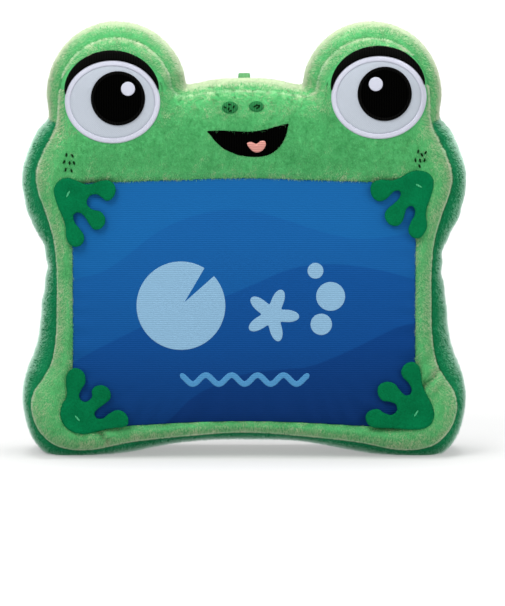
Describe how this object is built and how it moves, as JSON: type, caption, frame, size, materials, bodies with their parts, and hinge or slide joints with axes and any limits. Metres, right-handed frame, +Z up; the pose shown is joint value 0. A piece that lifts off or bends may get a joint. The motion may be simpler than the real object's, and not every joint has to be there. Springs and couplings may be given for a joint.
{
  "type": "hand puppet",
  "caption": "Stuffed plush frog cushion with a printed front panel, stitched face, felt hands and a hand pocket in the back that opens downwards.",
  "frame": {"origin": "bottom centre of the bounding box, on the ground under the puppet", "axes": "+Z up, the face looks along -Y, +X to the right as seen from the front"},
  "size_m": [0.1894, 0.06, 0.1851],
  "materials": {
    "light_plush": "short pile plush, light green",
    "dark_plush": "short pile plush, dark green",
    "printed_knit": "smooth printed knit in three blues",
    "felt": "pressed felt, green",
    "white_thread": "satin stitched white",
    "black_thread": "satin stitched black",
    "pink_thread": "satin stitched pink",
    "dark_thread": "dark green embroidery thread",
    "ribbon": "woven ribbon, green",
    "lining": "plain woven lining, green",
    "fill": "polyester fibre fill"
  },
  "bodies": {
    "root": {"back_panel": "dark_plush", "body_stuffing": "fill", "bottom_gusset": "dark_plush", "freckles_left": "dark_thread", "freckles_right": "dark_thread", "front_panel": "light_plush", "hand_palm_lower_left": "felt", "hand_palm_lower_right": "felt", "hand_palm_upper_left": "felt", "hand_palm_upper_right": "felt", "pocket_binding_back": "ribbon", "pocket_binding_front": "ribbon", "pocket_lining_back": "lining", "pocket_lining_front": "lining", "screen_panel": "printed_knit", "side_gusset_left": "dark_plush", "side_gusset_right": "dark_plush", "side_stuffing_left": "fill", "side_stuffing_right": "fill", "tack_lower_left": "dark_thread", "tack_lower_right": "dark_thread", "tack_upper_left": "dark_thread", "tack_upper_right": "dark_thread"},
    "head": {"eye_border_left": "white_thread", "eye_border_right": "white_thread", "eye_highlight_left": "white_thread", "eye_highlight_right": "white_thread", "eye_white_left": "white_thread", "eye_white_right": "white_thread", "eyelid_left": "black_thread", "eyelid_right": "black_thread", "head_back_panel": "light_plush", "head_gusset": "light_plush", "head_stuffing": "fill", "mouth": "black_thread", "nostril_left": "dark_thread", "nostril_right": "dark_thread", "pupil_border_left": "black_thread", "pupil_border_right": "black_thread", "pupil_left": "black_thread", "pupil_right": "black_thread", "tongue": "pink_thread"},
    "hanging_loop": {"hanging_loop": "ribbon"},
    "hand_lower_left": {"hand_toes_lower_left": "felt"},
    "hand_lower_right": {"hand_toes_lower_right": "felt"},
    "hand_upper_left": {"hand_toes_upper_left": "felt"},
    "hand_upper_right": {"hand_toes_upper_right": "felt"}
  },
  "joints": [
    {"name": "head_nod", "type": "hinge", "parent": "root", "child": "head", "pos_m": [0, 0, 0.1245], "axis": [1, 0, 0], "range_deg": [-8, 12], "stiffness_Nm_per_rad": 0.4, "deforming": ["front_panel", "side_gusset_left", "side_gusset_right", "head_back_panel"]},
    {"name": "loop_swing", "type": "hinge", "parent": "head", "child": "hanging_loop", "pos_m": [0, 0.02, 0.1552], "axis": [1, 0, 0], "range_deg": [-12, 30], "stiffness_Nm_per_rad": 0.002},
    {"name": "hand_lift_upper_left", "type": "hinge", "parent": "root", "child": "hand_upper_left", "pos_m": [-0.07173, -0.0293, 0.11102], "axis": [-0.662, 0, -0.7495], "range_deg": [0, 50], "stiffness_Nm_per_rad": 0.002},
    {"name": "hand_lift_upper_right", "type": "hinge", "parent": "root", "child": "hand_upper_right", "pos_m": [0.0715, -0.0293, 0.11424], "axis": [-0.7256, 0, 0.6881], "range_deg": [0, 50], "stiffness_Nm_per_rad": 0.002},
    {"name": "hand_lift_lower_left", "type": "hinge", "parent": "root", "child": "hand_lower_left", "pos_m": [-0.06832, -0.0293, 0.02098], "axis": [0.7291, 0, -0.6844], "range_deg": [0, 50], "stiffness_Nm_per_rad": 0.002},
    {"name": "hand_lift_lower_right", "type": "hinge", "parent": "root", "child": "hand_lower_right", "pos_m": [0.0701, -0.0293, 0.0225], "axis": [0.6, 0, 0.8], "range_deg": [0, 50], "stiffness_Nm_per_rad": 0.002}
  ]
}
